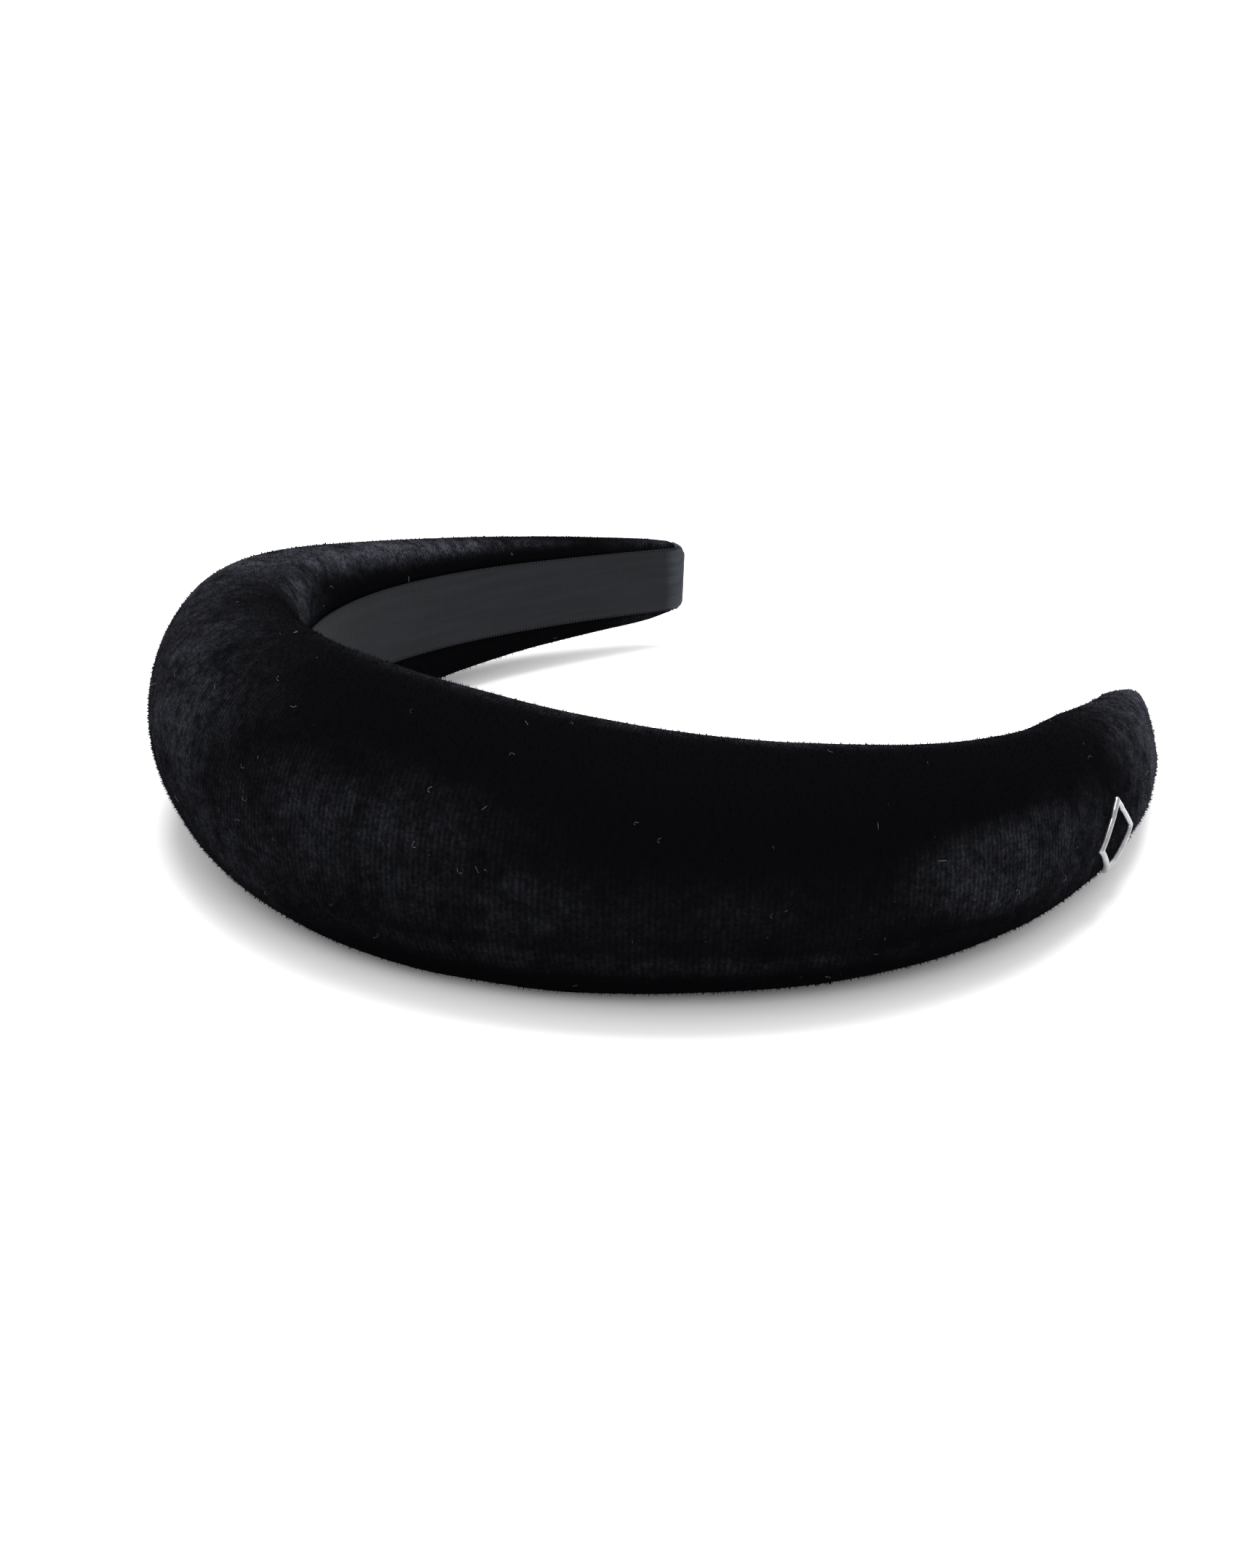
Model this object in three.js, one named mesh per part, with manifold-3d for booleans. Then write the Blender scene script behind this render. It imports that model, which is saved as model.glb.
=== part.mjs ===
// A padded velvet headband, lying on its lower edge.
// Millimetres and degrees. +Z is up, +X runs from the left arm to the right arm, the crown faces -Y
// and the tips point to +Y. The origin is the centre of the bounding box, on the surface it lies on.
import * as THREE from 'three';
import { mergeVertices } from 'three/addons/utils/BufferGeometryUtils.js';
import Module from 'manifold-3d';

const wasm = await Module();
wasm.setup();

// Arch: the line that the inside of the band follows, from the crown (0) to a tip (1).
const armLength = 180.5;
const tipHeading = 112.6;       // how far the band has turned by its tip
const earlyBend = 0.453;        // more of the bend near the crown
const middleStraight = -0.35;   // a straighter stretch behind the temples
const lowering = 3.2;           // the arms slope down from the crown by this angle

// The right arm lies a little sprung: its tip sags, and its outer face turns up.
const rightSag = 4.8;
const rightSagPower = 1.7;
const rightTurn = 18;

// Padding: its stations along an arm, with the band's width and depth at each.
const stations = [0, 0.36, 0.68, 1];
const widths = [47.7, 39.6, 26.5, 14.6];
const depths = [29.5, 25.4, 16.1, 5.0];
const innerShare = 0.26;        // share of the depth on the inner side of the widest line
const tipBoxiness = 0.45;       // 1 is an ellipse, smaller is squarer
const boxyFrom = 0.3;           // the station where the section starts to square up
const innerFullness = 0.65;     // the inner side and the edges are a little squarer than an ellipse
const edgeFullness = 0.95;
const tipCornerRadius = 2.2;
const endThinning = 0.5;        // how much of the corner's cut the end takes off its depth
const pressedFlat = 0.8;        // how far the underside is flattened where it rests

// Layers, from the head outwards.
const gap = 0.3;
const ribbonThickness = 0.5;
const ribbonWidth = 15.5;
const ribbonTipWidth = 13.1;
const velvetThickness = 0.9;
const bandThickness = 1.4;
const bandLift = 0.7;           // padding under the band at the crown, none at the tips
const bandWidth = 24;
const bandTipWidth = 10.6;
const slitWidth = 9;            // between the velvet's turned edges, under the ribbon
const foamEnd = 0.92;           // where the foam has thinned out, as a share of the arm
const foamSlack = 0.15;         // ease between the foam and the velvet
const wrapLength = 3;           // ribbon folded over each tip
const wrapWall = 1.2;
const taperFrom = 0.5;          // the station where the strips start to narrow

// Badge: a plain open lozenge on the right arm, its two prongs bent behind a backing plate.
const badgeStation = 0.69;
const badgeAngle = -13;         // its centre round the section, below the arm's middle line
const badgeHeight = 15;
const badgeLength = 15;
const badgeBow = 15;            // radius that the plate is bent to, across the arm
const badgeSidePoints = 6;
const badgeWall = 1.5;
const badgeThickness = 1.2;
const badgeBevel = 0.25;
const badgeSink = 0.2;          // pressed into the velvet
const prongSpacing = 12;
const prongWidth = 1.2;
const prongThickness = 0.5;
const prongLength = 3.6;
const backingLength = 14.4;
const backingHeight = 5;
const backingThickness = 0.4;
const backingDepth = 2.4;       // below the velvet's face

// How finely the pieces are swept along an arm.
const armSteps = 20;
const velvetSteps = 19;
const foamSteps = 14;
const wrapSteps = 8;
const socketSteps = 4;
const mergeDistance = 1e-5;

const velvetBlack = new THREE.MeshStandardMaterial({ color: '#0c0c0f', roughness: 1, metalness: 0 });
const ribbonCharcoal = new THREE.MeshStandardMaterial({ color: '#2c2e32', roughness: 0.85, metalness: 0 });
const foamGrey = new THREE.MeshStandardMaterial({ color: '#3a3a3d', roughness: 1, metalness: 0 });
const bandPlastic = new THREE.MeshStandardMaterial({ color: '#141416', roughness: 0.5, metalness: 0 });
const badgeSteel = new THREE.MeshStandardMaterial({ color: '#c6c7c9', roughness: 0.25, metalness: 1 });

const arms = [{ name: 'left', side: -1 }, { name: 'right', side: 1 }];
const lean = THREE.MathUtils.degToRad(lowering);
const turn = THREE.MathUtils.degToRad(rightTurn);

// A smooth monotone curve through the stations' values.
function along(values, t) {
  const last = stations.length - 1;
  const slopes = stations.slice(1).map((s, i) => (values[i + 1] - values[i]) / (s - stations[i]));
  const tangents = values.map((value, i) => {
    if (i === 0) return 0;
    if (i === last) return slopes[last - 1];
    const product = slopes[i - 1] * slopes[i];
    return product > 0 ? (2 * product) / (slopes[i - 1] + slopes[i]) : 0;
  });
  const i = Math.min(last - 1, stations.findLastIndex((s) => s <= t));
  const span = stations[i + 1] - stations[i];
  const f = (t - stations[i]) / span;
  return values[i] * (1 + 2 * f) * (1 - f) ** 2 + tangents[i] * span * f * (1 - f) ** 2
    + values[i + 1] * f * f * (3 - 2 * f) - tangents[i + 1] * span * f * f * (1 - f);
}

function headingAt(t) {
  const s = THREE.MathUtils.clamp(t, 0, 1);
  const bend = s + (earlyBend * Math.sin(Math.PI * s)) / Math.PI
    + (middleStraight * Math.sin(2 * Math.PI * s)) / (2 * Math.PI);
  return THREE.MathUtils.degToRad(tipHeading) * bend;
}

// Points of the arch, summed in half-millimetre steps. Past either end it runs on straight.
const archSteps = 2 * armLength;
const arch = [new THREE.Vector2(0, 0)];
for (let i = 0; i < archSteps; i += 1) {
  const heading = headingAt((i + 0.5) / archSteps);
  const step = new THREE.Vector2(Math.cos(heading), Math.sin(heading));
  arch.push(arch[i].clone().addScaledVector(step, armLength / archSteps));
}

function archPoint(t) {
  const s = THREE.MathUtils.clamp(t, 0, 1);
  const i = Math.min(Math.floor(s * archSteps), archSteps - 1);
  const point = arch[i].clone().lerp(arch[i + 1], s * archSteps - i);
  const heading = headingAt(s);
  return point.addScaledVector(new THREE.Vector2(Math.cos(heading), Math.sin(heading)), (t - s) * armLength);
}

// A point of the padded section, at an angle round it: how far out from the head, how far across.
// inset shrinks the section evenly, and proud moves its inner side towards the head.
function sectionPoint(t, angle, inset, proud = 0) {
  const station = THREE.MathUtils.clamp(t, 0, 1);
  const power = 1 - (1 - tipBoxiness) * THREE.MathUtils.clamp((station - boxyFrom) / (1 - boxyFrom), 0, 1);
  const c = Math.cos(angle);
  const s = Math.sin(angle);
  const depth = along(depths, station);
  const cut = cornerCut(t);
  const outer = depth * (1 - innerShare) - inset - cut * endThinning;
  const inner = depth * innerShare + proud - inset - cut * endThinning;
  const half = along(widths, station) / 2 - inset - cut;
  const reach = c > 0 ? outer * c ** power : -inner * (-c) ** (innerFullness * power);
  const across = Math.sign(s) * half * Math.abs(s) ** (edgeFullness * power);
  return { out: depth * innerShare + reach, across };
}

// How much the round corners of the tip take off each side.
function cornerCut(t) {
  const fromEnd = (1 - t) * armLength;
  if (fromEnd >= tipCornerRadius) return 0;
  const into = tipCornerRadius - Math.max(fromEnd, 0);
  return tipCornerRadius - Math.sqrt(tipCornerRadius ** 2 - into ** 2);
}

// From a place on an arm (station, distance outwards, distance across) to the headband's frame, unraised.
function leaned(side, t, out, across) {
  const s = THREE.MathUtils.clamp(t, 0, 1);
  const own = new THREE.Vector2(out, across).rotateAround(new THREE.Vector2(), side > 0 ? turn * s * s : 0);
  const height = own.y - (side > 0 ? rightSag * s ** rightSagPower : 0);
  const heading = headingAt(t);
  const point = archPoint(t);
  const x = point.x + own.x * Math.sin(heading);
  const y = point.y - own.x * Math.cos(heading);
  const up = height * Math.cos(lean) - y * Math.sin(lean);
  return new THREE.Vector3(side * x, y * Math.cos(lean) + height * Math.sin(lean), up);
}

const sectionSteps = 20;
const angles = Array.from({ length: sectionSteps }, (_, i) => ((i + 0.5) / sectionSteps) * 2 * Math.PI);

// The underside's lowest line is pressed flat, so the band is raised by a little less than its half width.
function lowestPoint() {
  let low = 0;
  for (const t of sweepStations(0, 1, armSteps)) {
    for (const angle of angles) {
      const { out, across } = sectionPoint(t, angle, 0);
      low = Math.min(low, leaned(-1, t, out, across).z);
    }
  }
  return low;
}
const raise = -lowestPoint() - pressedFlat;

function place(side, t, out, across, floor = 0) {
  const point = leaned(side, t, out, across);
  point.z = Math.max(point.z + raise, floor);
  return point;
}

// A closed solid through rings of points, all with the same count, with a flat cap at each end.
function loft(rings) {
  const count = rings[0].length;
  const positions = rings.flat().flatMap((point) => point.toArray());
  const index = [];
  for (let r = 0; r + 1 < rings.length; r += 1) {
    for (let i = 0; i < count; i += 1) {
      const a = r * count + i;
      const b = r * count + ((i + 1) % count);
      index.push(a, b, b + count, a, b + count, a + count);
    }
  }
  const last = (rings.length - 1) * count;
  for (let i = 1; i + 1 < count; i += 1) {
    index.push(0, i + 1, i, last, last + i, last + i + 1);
  }
  const geometry = new THREE.BufferGeometry();
  geometry.setAttribute('position', new THREE.Float32BufferAttribute(positions, 3));
  geometry.setIndex(index);
  return geometry;
}

// Manifold solids from geometries, and back.
function solid(geometry) {
  const bare = geometry.clone();
  bare.deleteAttribute('normal');
  bare.deleteAttribute('uv');
  const merged = mergeVertices(bare, mergeDistance);
  return new wasm.Manifold(new wasm.Mesh({
    numProp: 3,
    vertProperties: new Float32Array(merged.attributes.position.array),
    triVerts: new Uint32Array(merged.index.array),
  }));
}

function geometryOf(manifold) {
  const mesh = manifold.getMesh();
  const geometry = new THREE.BufferGeometry();
  geometry.setAttribute('position', new THREE.BufferAttribute(mesh.vertProperties, 3));
  geometry.setIndex(new THREE.BufferAttribute(mesh.triVerts, 1));
  return geometry;
}

// Stations of the joins along an arm. The two halves part at the crown.
const share = (millimetres) => millimetres / armLength;
const crownStart = share(gap / 2);
const wrapStart = 1 - share(wrapLength);
const bandEnd = 1 - share(wrapWall);
const overrun = 2;              // how far a cutting solid runs on past what it cuts
const beyond = share(overrun);

function sweepStations(from, to, steps) {
  return Array.from({ length: steps + 1 }, (_, i) => from + ((to - from) * i) / steps);
}

// The padded outline, shrunk by inset, along one arm.
function envelope(side, from, to, steps, inset, proud = 0) {
  const order = side < 0 ? angles : [...angles].reverse();
  return solid(loft(sweepStations(from, to, steps).map((t) => order.map((angle) => {
    const { out, across } = sectionPoint(t, angle, inset, proud);
    return place(side, t, out, across, inset);
  }))));
}

// A strip of rectangular section along one arm, between two distances out. Its half width is given at
// the crown and at the tip, and lift moves it outwards at the crown only.
function strip(side, from, to, steps, outFrom, outTo, halfCrown, halfTip, lift = 0) {
  return solid(loft(sweepStations(from, to, steps).map((t) => {
    const half = THREE.MathUtils.lerp(halfCrown, halfTip, taper(t));
    const up = lift * (1 - taper(t));
    const corners = [[outFrom + up, -half], [outTo + up, -half], [outTo + up, half], [outFrom + up, half]];
    if (side > 0) corners.reverse();
    return corners.map(([out, across]) => place(side, t, out, across, -Infinity));
  })));
}

// Share of a strip's narrowing that is done by a station: none before half way, all at the tip.
function taper(t) {
  return THREE.MathUtils.smoothstep(t, taperFrom, 1);
}

// Depths of the layers, measured outwards from the velvet's inner face.
const cavityInset = velvetThickness + gap;
const bandOut = cavityInset + bandThickness;
const halfBand = bandWidth / 2;
const halfTipBand = bandTipWidth / 2;
const ribbonOut = -gap;
const ribbonIn = ribbonOut - ribbonThickness;

// The badge's own axes at its place on the velvet: x along the arm, y across it, z outwards.
function badgeMatrix(outwards) {
  const angle = THREE.MathUtils.degToRad(badgeAngle);
  const skin = (t, extra) => {
    const { out, across } = sectionPoint(t, angle + extra, 0);
    return place(1, t, out, across);
  };
  const step = share(1);
  const turned = 0.05;
  const alongArm = skin(badgeStation + step, 0).sub(skin(badgeStation - step, 0)).normalize();
  const slope = skin(badgeStation, turned).sub(skin(badgeStation, -turned));
  const outward = new THREE.Vector3().crossVectors(alongArm, slope).normalize();
  const across = new THREE.Vector3().crossVectors(outward, alongArm);
  const origin = skin(badgeStation, 0).addScaledVector(outward, outwards);
  return new THREE.Matrix4().makeBasis(alongArm, across, outward).setPosition(origin);
}

function badgeBox(length, height, thickness, outwards, shift = 0) {
  return new THREE.BoxGeometry(length, height, thickness)
    .translate(shift, 0, 0)
    .applyMatrix4(badgeMatrix(outwards));
}

const prongShifts = [-prongSpacing / 2, prongSpacing / 2];
const prongTop = -badgeSink - gap;
const prongMiddle = prongTop - prongLength / 2;
const clearance = 2 * gap;

function prong(shift) {
  return badgeBox(prongThickness, prongWidth, prongLength, prongMiddle, shift);
}

// Room for both prongs, up to and past the plate.
function prongRoom() {
  const rooms = prongShifts.map((shift) => solid(badgeBox(
    prongThickness + clearance,
    prongWidth + clearance,
    prongLength + clearance,
    prongMiddle,
    shift,
  )));
  return rooms[0].add(rooms[1]);
}

function backingRoom() {
  return solid(badgeBox(
    backingLength + clearance,
    backingHeight + clearance,
    backingThickness + clearance,
    -backingDepth,
  ));
}

// A lozenge's outline, with enough points on each side for it to be bent.
function lozenge(length, height) {
  const corners = [[-length / 2, 0], [0, -height / 2], [length / 2, 0], [0, height / 2]];
  return corners.flatMap(([x, y], i) => {
    const [nextX, nextY] = corners[(i + 1) % corners.length];
    return Array.from({ length: badgeSidePoints }, (_, k) => new THREE.Vector2(
      THREE.MathUtils.lerp(x, nextX, k / badgeSidePoints),
      THREE.MathUtils.lerp(y, nextY, k / badgeSidePoints),
    ));
  });
}

// Bends a flat badge piece across the arm, then puts it on the velvet.
function bowed(geometry, outwards) {
  const { position } = geometry.attributes;
  for (let i = 0; i < position.count; i += 1) {
    position.setZ(i, position.getZ(i) - position.getY(i) ** 2 / (2 * badgeBow));
  }
  return geometry.applyMatrix4(badgeMatrix(outwards));
}

// The open lozenge seen from the front, made larger by ease on both sides of its wall.
function badgeShape(ease) {
  const slope = Math.hypot(badgeLength, badgeHeight);
  const holeLength = badgeLength - (2 * badgeWall * slope) / badgeHeight;
  const holeHeight = badgeHeight - (2 * badgeWall * slope) / badgeLength;
  const shape = new THREE.Shape(lozenge(badgeLength + ease, badgeHeight + ease));
  shape.holes.push(new THREE.Path(lozenge(holeLength - ease, holeHeight - ease)));
  return shape;
}

function badgePlate() {
  return bowed(new THREE.ExtrudeGeometry(badgeShape(-2 * badgeBevel), {
    depth: badgeThickness - 2 * badgeBevel,
    bevelThickness: badgeBevel,
    bevelSize: badgeBevel,
    bevelSegments: 1,
  }).translate(0, 0, badgeBevel), -badgeSink);
}

// Where the plate presses into the velvet, with room round it.
function badgeSeat() {
  return solid(bowed(
    new THREE.ExtrudeGeometry(badgeShape(2 * clearance), { depth: 2 * badgeThickness, bevelEnabled: false }),
    -badgeSink - gap,
  ));
}

function badgeBacking() {
  const plate = solid(badgeBox(backingLength, backingHeight, backingThickness, -backingDepth));
  return geometryOf(plate.subtract(prongRoom()));
}

function springBand(side) {
  const whole = strip(
    side,
    crownStart,
    bandEnd,
    armSteps,
    cavityInset,
    bandOut,
    halfBand,
    halfTipBand,
    bandLift,
  );
  return geometryOf(whole.intersect(envelope(side, -beyond, 1, armSteps, cavityInset)));
}

function foamPad(side) {
  const bandRoom = strip(
    side,
    -beyond,
    1,
    armSteps,
    -overrun,
    bandOut + gap,
    halfBand + gap,
    halfTipBand + gap,
    bandLift,
  );
  let pad = envelope(side, crownStart, foamEnd, foamSteps, cavityInset + foamSlack).subtract(bandRoom);
  if (side > 0) pad = pad.subtract(backingRoom()).subtract(prongRoom());
  return geometryOf(pad);
}

function velvetCover(side) {
  const skin = envelope(side, crownStart, wrapStart - share(gap), velvetSteps, 0);
  const hollow = envelope(side, -beyond, wrapStart + beyond, armSteps, velvetThickness);
  const slit = strip(side, -beyond, 1, armSteps, -overrun, cavityInset, slitWidth / 2, slitWidth / 2);
  let cover = skin.subtract(hollow).subtract(slit);
  if (side > 0) cover = cover.subtract(badgeSeat()).subtract(prongRoom());
  return geometryOf(cover);
}

function ribbonLining(side) {
  return geometryOf(strip(
    side,
    crownStart,
    wrapStart - share(gap),
    armSteps,
    ribbonIn,
    ribbonOut,
    ribbonWidth / 2,
    ribbonTipWidth / 2,
  ));
}

// The ribbon's folded end: a snug cup over the end of the spring band.
function tipWrap(side) {
  const cup = envelope(side, wrapStart, 1, wrapSteps, 0, -ribbonIn);
  const inside = strip(
    side,
    wrapStart - beyond,
    bandEnd + share(gap),
    socketSteps,
    cavityInset - gap,
    bandOut + gap,
    halfTipBand + gap,
    halfTipBand + gap,
  );
  return geometryOf(cup.subtract(inside));
}

const headband = new THREE.Group();

function addPiece(name, geometry, material) {
  const mesh = new THREE.Mesh(geometry, material);
  mesh.name = name;
  headband.add(mesh);
}

for (const { name, side } of arms) {
  addPiece(`spring_band_${name}`, springBand(side), bandPlastic);
  addPiece(`foam_pad_${name}`, foamPad(side), foamGrey);
  addPiece(`velvet_cover_${name}`, velvetCover(side), velvetBlack);
  addPiece(`ribbon_lining_${name}`, ribbonLining(side), ribbonCharcoal);
  addPiece(`tip_wrap_${name}`, tipWrap(side), ribbonCharcoal);
}
addPiece('badge_plate', badgePlate(), badgeSteel);
addPiece('badge_prong_front', prong(prongShifts[0]), badgeSteel);
addPiece('badge_prong_back', prong(prongShifts[1]), badgeSteel);
addPiece('badge_backing', badgeBacking(), badgeSteel);

// The origin goes under the middle of the whole headband.
const middle = new THREE.Box3().setFromObject(headband).getCenter(new THREE.Vector3());
headband.position.set(-middle.x, -middle.y, 0);

export default headband;
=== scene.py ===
import math

import bmesh
import bpy
import numpy as np
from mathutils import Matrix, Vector, noise


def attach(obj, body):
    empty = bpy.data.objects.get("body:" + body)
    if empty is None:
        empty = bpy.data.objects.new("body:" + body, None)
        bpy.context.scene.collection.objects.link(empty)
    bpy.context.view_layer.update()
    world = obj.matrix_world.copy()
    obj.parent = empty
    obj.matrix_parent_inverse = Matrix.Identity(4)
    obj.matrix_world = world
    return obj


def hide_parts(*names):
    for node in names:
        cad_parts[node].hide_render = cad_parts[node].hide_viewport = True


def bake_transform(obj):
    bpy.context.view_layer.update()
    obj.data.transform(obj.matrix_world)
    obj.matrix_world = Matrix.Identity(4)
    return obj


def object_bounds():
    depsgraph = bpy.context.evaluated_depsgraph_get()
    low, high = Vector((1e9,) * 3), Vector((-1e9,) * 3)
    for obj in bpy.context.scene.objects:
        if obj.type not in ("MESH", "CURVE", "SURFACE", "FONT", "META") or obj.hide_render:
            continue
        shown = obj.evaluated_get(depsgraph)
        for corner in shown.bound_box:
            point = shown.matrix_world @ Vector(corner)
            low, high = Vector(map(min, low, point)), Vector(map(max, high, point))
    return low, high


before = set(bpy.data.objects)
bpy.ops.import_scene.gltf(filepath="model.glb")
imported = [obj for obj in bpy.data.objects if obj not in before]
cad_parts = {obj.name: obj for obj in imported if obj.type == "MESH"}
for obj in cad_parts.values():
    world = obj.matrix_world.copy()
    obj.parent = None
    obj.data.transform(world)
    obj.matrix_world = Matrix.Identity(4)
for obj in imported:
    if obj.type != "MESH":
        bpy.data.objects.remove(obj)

cadLow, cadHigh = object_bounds()
print("frame loaded:", len(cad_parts), "nodes")

# Everything is in metres and degrees. "Station" runs from -1 at the left tip, over 0 at the crown, to 1
# at the right tip. "Out" is the distance outwards from the head, "across" the height above the middle line.

cameraSet = {
    "azimuth": 41.966,
    "elevation": 22.454,
    "distance": 0.5713,
    "target": (-0.00069, 0.00156, 0.00667),
    "lens": 70.27,
    "sensorWidth": 36,
    "sees": (0.01, 20),  # nearest and farthest
}


def makeCamera():
    azimuth = math.radians(cameraSet["azimuth"])
    elevation = math.radians(cameraSet["elevation"])
    level = math.cos(elevation)
    back = Vector((math.sin(azimuth) * level, -math.cos(azimuth) * level, math.sin(elevation)))
    data = bpy.data.cameras.new("studioCamera")
    data.sensor_width = cameraSet["sensorWidth"]
    data.lens = cameraSet["lens"]
    data.clip_start, data.clip_end = cameraSet["sees"]
    camera = bpy.data.objects.new("studioCamera", data)
    camera.location = Vector(cameraSet["target"]) + back * cameraSet["distance"]
    camera.rotation_mode = "QUATERNION"
    camera.rotation_quaternion = (-back).to_track_quat("-Z", "Y")
    bpy.context.scene.collection.objects.link(camera)
    bpy.context.scene.camera = camera


makeCamera()
print("camera placed")

bandShape = {
    "armLength": 0.1805,
    "tipHeading": 112.6,  # how far the band has turned by its tip
    "earlyBend": 0.453,  # more of the bend near the crown
    "middleStraight": -0.35,  # a straighter stretch behind the temples
    "lowering": 3.2,  # the arms slope down from the crown
    "rightSag": 0.0048,  # the right arm lies a little sprung
    "rightSagPower": 1.7,
    "rightTurn": 18,
    "stations": (0, 0.36, 0.68, 1),
    "widths": (0.0477, 0.0396, 0.0265, 0.0146),
    "depths": (0.0295, 0.0254, 0.0161, 0.005),
    "innerShare": 0.26,  # share of the depth inside the widest line
    "tipBoxiness": 0.45,
    "boxyFrom": 0.3,  # the section is oval up to this station
    "innerFullness": 0.65,
    "edgeFullness": 0.95,
    "tipCornerRadius": 0.0022,
    "endThinning": 0.5,
    "pressedFlat": 0.0008,
}

arm = bandShape["armLength"]
archSteps = 361  # steps of the arch line
fitSteps = 20  # steps used to find the band's box


def smooth(value, low, high):  # 0 below low, 1 above high, soft between
    f = np.clip((value - low) / (high - low), 0, 1)
    return f * f * (3 - 2 * f)


def mix(a, b, share):
    return a + (b - a) * share


def along(values, t):  # a monotone curve through the stations' values
    x, v = np.array(bandShape["stations"]), np.array(values)
    slopes = np.diff(v) / np.diff(x)
    tangents = np.zeros(len(v))
    tangents[1:-1] = 2 * slopes[:-1] * slopes[1:] / (slopes[:-1] + slopes[1:])
    tangents[-1] = slopes[-1]
    i = np.clip(np.searchsorted(x, t, side="right") - 1, 0, len(x) - 2)
    span = x[i + 1] - x[i]
    f = (t - x[i]) / span
    start = v[i] * (1 + 2 * f) * (1 - f) ** 2 + tangents[i] * span * f * (1 - f) ** 2
    return start + v[i + 1] * f * f * (3 - 2 * f) - tangents[i + 1] * span * f * f * (1 - f)


def headingAt(t):
    s = np.clip(t, 0, 1)
    bend = s + bandShape["earlyBend"] * np.sin(np.pi * s) / np.pi
    bend = bend + bandShape["middleStraight"] * np.sin(2 * np.pi * s) / (2 * np.pi)
    return np.radians(bandShape["tipHeading"]) * bend


archMiddles = headingAt((np.arange(archSteps) + 0.5) / archSteps)
archPaces = np.column_stack([np.cos(archMiddles), np.sin(archMiddles)])
archLine = np.vstack([[0, 0], np.cumsum(archPaces, axis=0)]) * arm / archSteps


def cornerCut(t):  # what the tip's round corners take off each side
    radius = bandShape["tipCornerRadius"]
    into = np.clip(radius - np.maximum((1 - t) * arm, 0), 0, radius)
    return radius - np.sqrt(radius ** 2 - into ** 2)


def roundnessAt(t):  # 1 is an oval section, less is boxier
    boxy = np.clip((t - bandShape["boxyFrom"]) / (1 - bandShape["boxyFrom"]), 0, 1)
    return 1 - (1 - bandShape["tipBoxiness"]) * boxy


def anglesRound(count):
    return (np.arange(count) + 0.5) / count * 2 * np.pi


def sectionPoint(t, angle, inset, proud=0.0):  # angle 0 is the outer face, 90 the upper edge
    station = np.clip(t, 0, 1)
    power = roundnessAt(station)
    c, s = np.cos(angle), np.sin(angle)
    depth = along(bandShape["depths"], station)
    cut = cornerCut(t)
    outer = depth * (1 - bandShape["innerShare"]) - inset - cut * bandShape["endThinning"]
    inner = depth * bandShape["innerShare"] + proud - inset - cut * bandShape["endThinning"]
    half = along(bandShape["widths"], station) / 2 - inset - cut
    innerPower, edgePower = bandShape["innerFullness"] * power, bandShape["edgeFullness"] * power
    reach = np.where(c > 0, outer * np.abs(c) ** power, -inner * np.abs(c) ** innerPower)
    return depth * bandShape["innerShare"] + reach, np.sign(s) * half * np.abs(s) ** edgePower


def leaned(station, out, across):
    t = np.abs(station)
    s = np.clip(t, 0, 1)
    right = station > 0
    turn = np.where(right, np.radians(bandShape["rightTurn"]) * s * s, 0)
    ownOut = out * np.cos(turn) - across * np.sin(turn)
    height = out * np.sin(turn) + across * np.cos(turn)
    height = height - np.where(right, bandShape["rightSag"] * s ** bandShape["rightSagPower"], 0)
    heading = headingAt(t)
    steps = np.arange(archSteps + 1) / archSteps
    x = np.interp(s, steps, archLine[:, 0]) + np.cos(heading) * (t - s) * arm + ownOut * np.sin(heading)
    y = np.interp(s, steps, archLine[:, 1]) + np.sin(heading) * (t - s) * arm - ownOut * np.cos(heading)
    lean = np.radians(bandShape["lowering"])
    side = np.where(station < 0, -1, 1)
    up = height * np.cos(lean) - y * np.sin(lean)
    return np.stack([side * x, y * np.cos(lean) + height * np.sin(lean), up], axis=-1)


def outlineAt(stations):
    u, a = np.meshgrid(stations, anglesRound(fitSteps), indexing="ij")
    return leaned(u, *sectionPoint(np.abs(u), a, 0.0))


# The frame says where the band lies: its box centres the arch, and its underside is pressed flat.
wholeBand = outlineAt(np.linspace(-1, 1, 4 * fitSteps + 1)).reshape(-1, 3)
shift = (np.array(cadLow) + np.array(cadHigh) - wholeBand.min(0) - wholeBand.max(0)) / 2
leftLow = outlineAt(-np.linspace(0, 1, fitSteps + 1))[..., 2].min()
shift[2] = -leftLow - bandShape["pressedFlat"]
noFloor = -1.0  # below anything that is placed


def place(station, out, across, floor=0.0):  # nothing is placed lower than the floor
    station, out, across = np.broadcast_arrays(np.asarray(station, float), out, across)
    points = leaned(station, out, across) + shift
    points[..., 2] = np.maximum(points[..., 2], floor)
    return points


def linear(hexColour):
    channels = [int(hexColour[i:i + 2], 16) / 255 for i in (1, 3, 5)]
    return [c / 12.92 if c <= 0.04045 else ((c + 0.055) / 1.055) ** 2.4 for c in channels] + [1.0]


def fillSockets(tree, node, inputs):  # links a socket to a socket, and sets the rest
    for key, value in inputs.items():
        if isinstance(value, bpy.types.NodeSocket):
            tree.links.new(value, node.inputs[key])
        else:
            node.inputs[key].default_value = value


def addNode(tree, kind, inputs=None, **settings):
    node = tree.nodes.new(kind)
    for name, value in settings.items():
        setattr(node, name, value)
    fillSockets(tree, node, inputs or {})
    return node


def bandScale(pitch):  # the Scale that sets a wave texture's bands a pitch apart
    return 2 * math.pi / 20 / pitch


def startMaterial(name):
    material = bpy.data.materials.new(name)
    material.use_nodes = True
    tree = material.node_tree
    return material, tree, tree.nodes["Principled BSDF"]


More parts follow.
